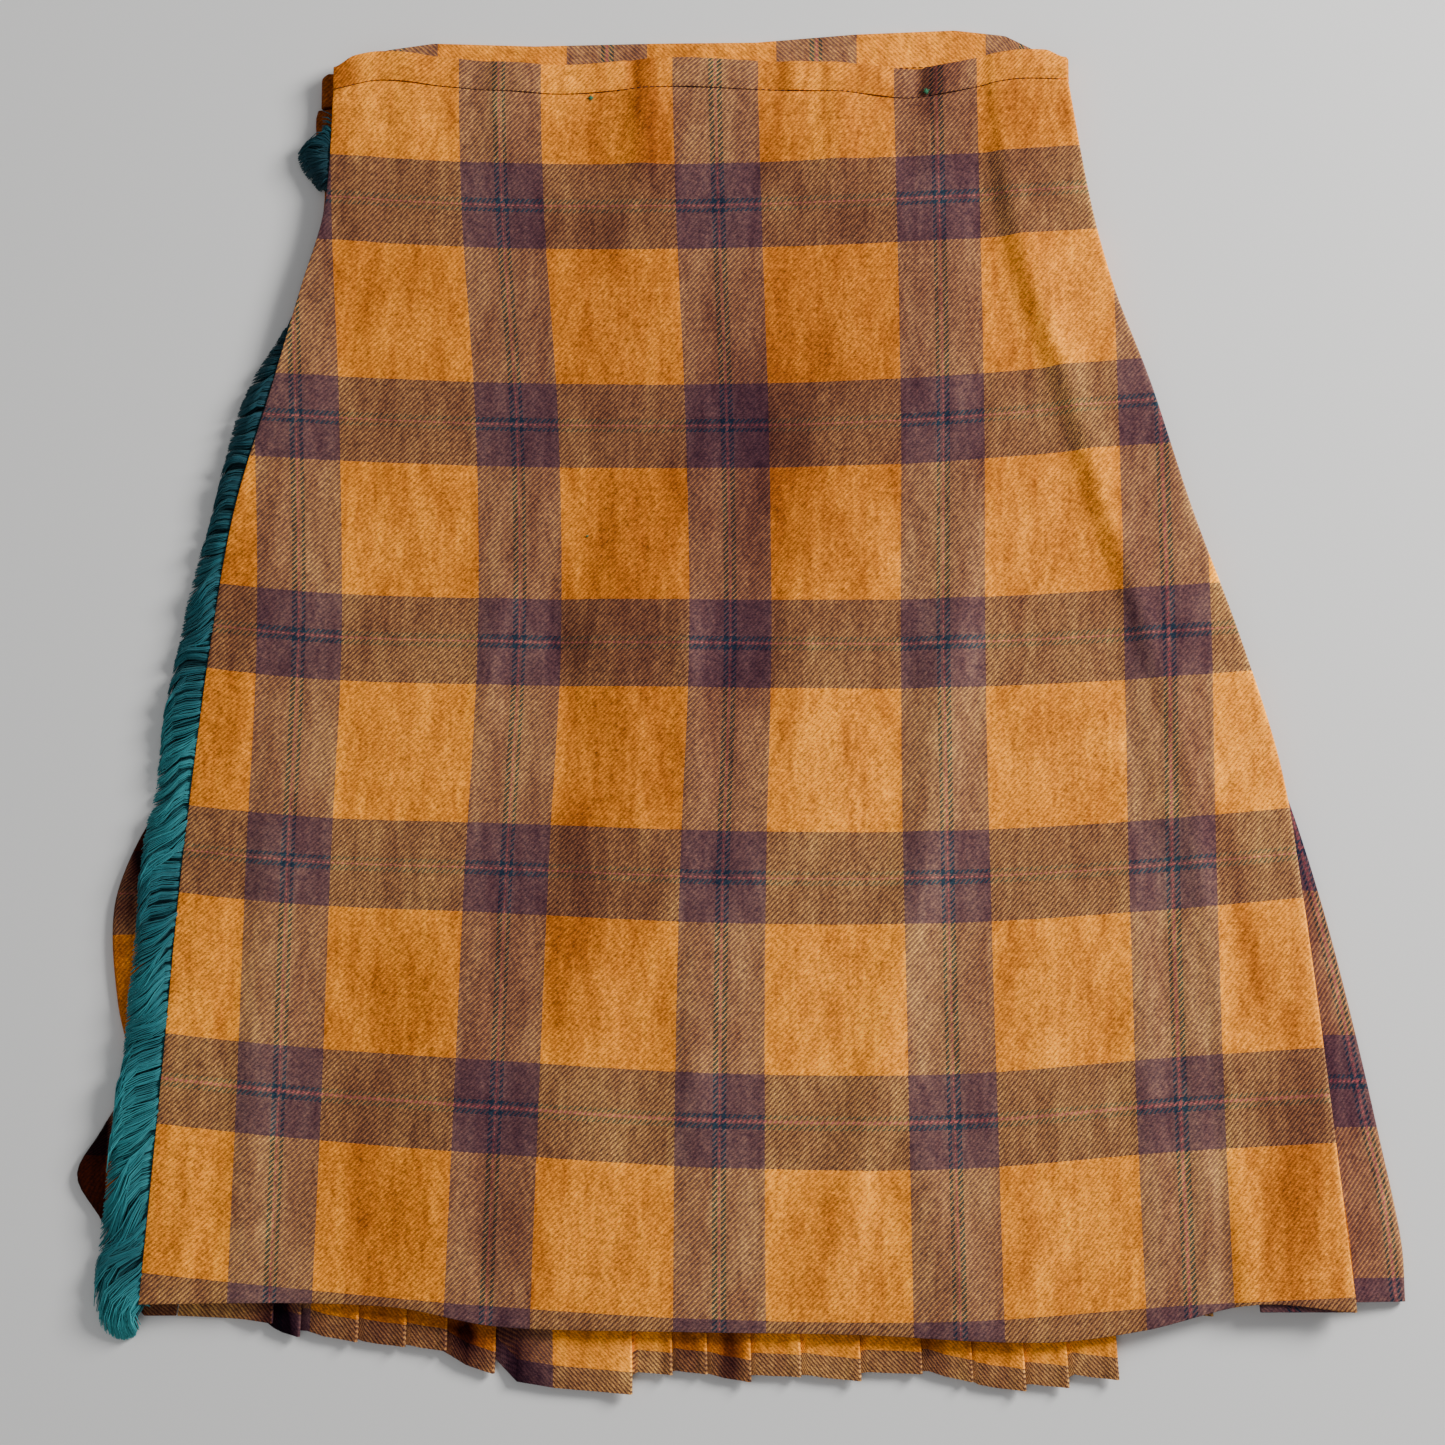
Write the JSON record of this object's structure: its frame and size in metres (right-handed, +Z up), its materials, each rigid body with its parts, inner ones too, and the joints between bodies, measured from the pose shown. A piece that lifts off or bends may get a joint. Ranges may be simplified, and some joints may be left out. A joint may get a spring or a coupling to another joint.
{
  "type": "kilt",
  "caption": "Checked wool kilt laid flat with its front apron up: fringed apron over an under apron and a back of knife pleats, narrow waistband.",
  "frame": {"origin": "on the surface that the kilt lies on, under the middle of its bounding box", "axes": "+X to the right of the front apron as it faces up, +Y from the hem to the waist, +Z up through the layers"},
  "size_m": [0.6002, 0.6382, 0.0142],
  "materials": {
    "checked_twill": "wool twill, golden tan with a brown check",
    "side_twill": "wool twill, golden tan with a brown check",
    "under_twill": "wool twill, golden tan with a brown check",
    "twill_reverse": "wool twill seen from its reverse",
    "band_twill": "wool twill, folded over",
    "fringe_wool": "loose wool, dark teal"
  },
  "bodies": {
    "root": {"front_apron": "checked_twill", "side_pleat": "side_twill", "under_apron": "under_twill", "pleated_back": "twill_reverse", "waistband": "band_twill", "apron_fringe": "fringe_wool"}
  },
  "joints": []
}
